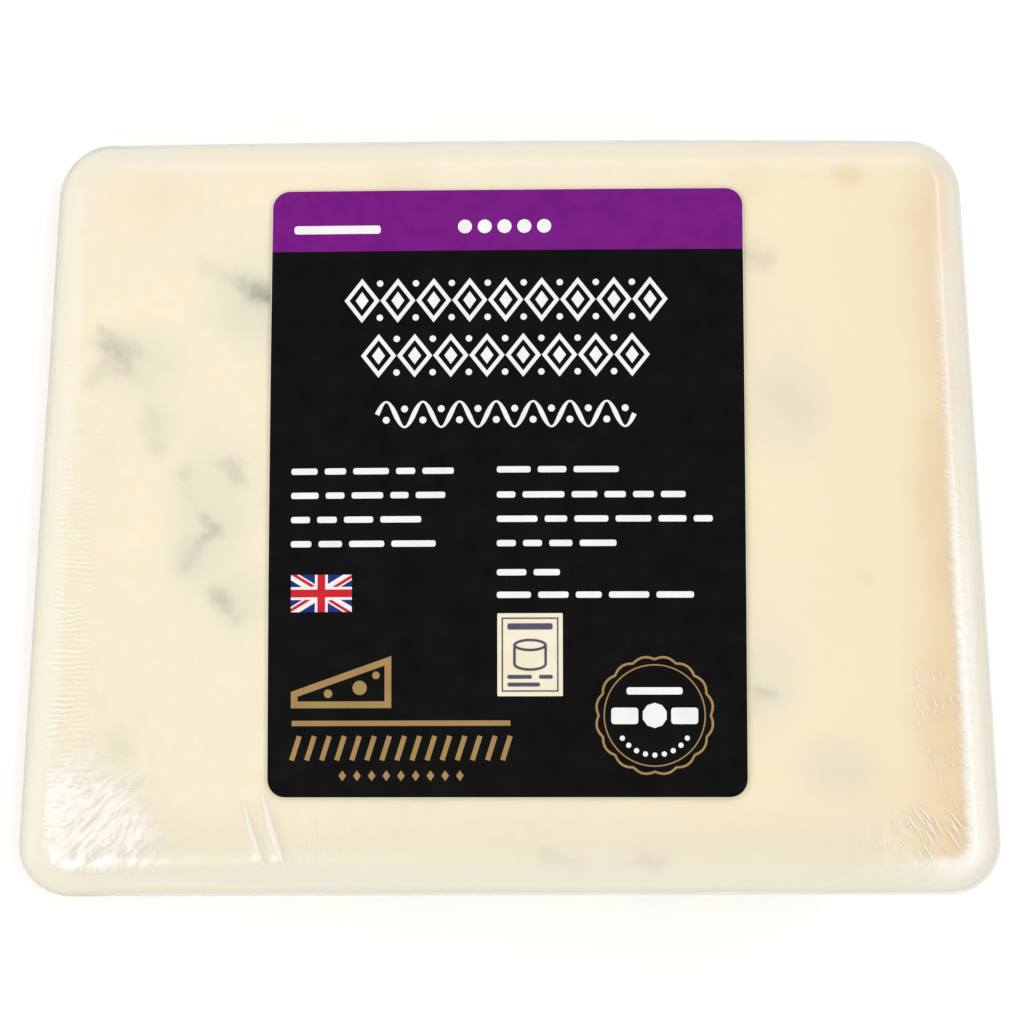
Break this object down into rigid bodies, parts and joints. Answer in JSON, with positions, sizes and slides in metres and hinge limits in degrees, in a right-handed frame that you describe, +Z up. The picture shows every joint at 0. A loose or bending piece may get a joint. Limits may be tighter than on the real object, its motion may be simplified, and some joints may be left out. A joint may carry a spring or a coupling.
{
  "type": "stilton wedge",
  "caption": "Wedge of blue cheese drawn tight in clear film, lying on one cut face, with a plain printed label on the other; food for a fridge shelf or a cheese board.",
  "frame": {"origin": "middle of the underside of the bounding box, on the surface that the pack lies on", "axes": "+X from the wedge's thin tip to its rind, +Y from the bottom of the label to its top, +Z up"},
  "size_m": [0.1026, 0.081, 0.0469],
  "materials": {
    "wrapped_cheese": "cream paste with grey-green veins, seen through clear glossy film",
    "label_paper": "black printed paper with a soft sheen",
    "blue_cheese": "moist cream paste with grey-green veins and a tan rind",
    "shrink_film": "clear, glossy, drawn tight with fine wrinkles",
    "printing_ink": "thin even ink with a soft sheen"
  },
  "bodies": {
    "root": {"wrapped_wedge": "wrapped_cheese", "label": "label_paper"}
  },
  "joints": []
}
